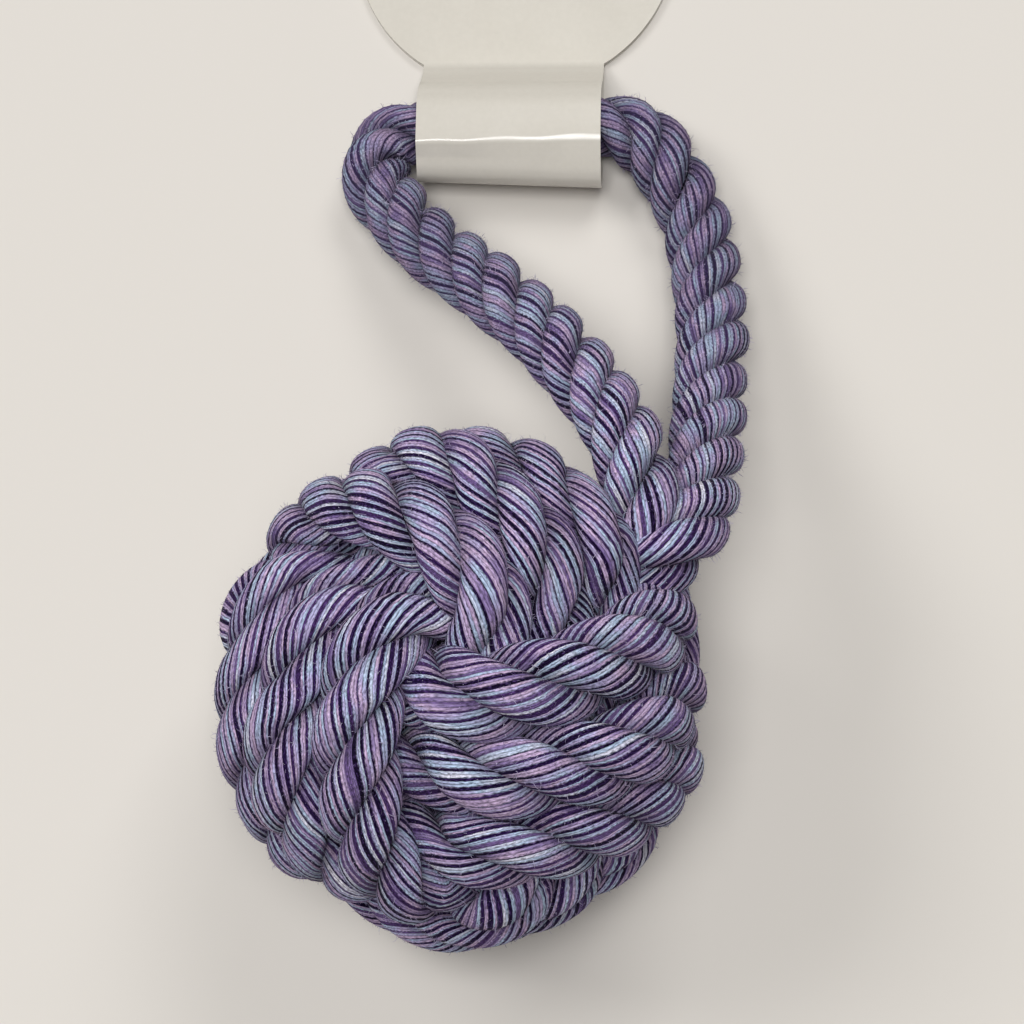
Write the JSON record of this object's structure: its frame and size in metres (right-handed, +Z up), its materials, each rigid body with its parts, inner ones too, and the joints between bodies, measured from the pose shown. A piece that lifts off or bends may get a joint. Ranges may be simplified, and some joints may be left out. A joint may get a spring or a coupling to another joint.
{
  "type": "rope dog toy",
  "caption": "Monkey's fist ball of thick laid cotton rope over a rubber core, with a rope loop handle that lifts and a folded bare card that swings on the loop.",
  "frame": {"origin": "on the floor under the middle of the toy's box, with the ball in front and the handle lying back", "axes": "+Y from the ball along the handle to the card, +Z up from the floor, +X to the right seen from the ball's side"},
  "size_m": [0.111, 0.2826, 0.1028],
  "materials": {
    "rope": "matte laid cotton yarn in purples and pale blue",
    "core": "matte",
    "card": "coated paperboard, slight sheen"
  },
  "bodies": {
    "ball": {"core_ball": "core", "first_turns": "rope", "second_turns": "rope", "third_turns": "rope", "left_neck": "rope", "right_neck": "rope"},
    "handle": {"handle_loop": "rope"},
    "card": {"header_card": "card"}
  },
  "joints": [
    {"name": "handle_lift", "type": "hinge", "parent": "ball", "child": "handle", "pos_m": [0.03679, -0.03536, 0.0537], "axis": [0.8391, -0.277, -0.4681], "range_deg": [0, 110], "deforming": ["left_neck", "right_neck"]},
    {"name": "card_swing", "type": "hinge", "parent": "handle", "child": "card", "pos_m": [0.00169, 0.05434, 0.0088], "axis": [1, 0, 0], "range_deg": [0, 120]}
  ]
}
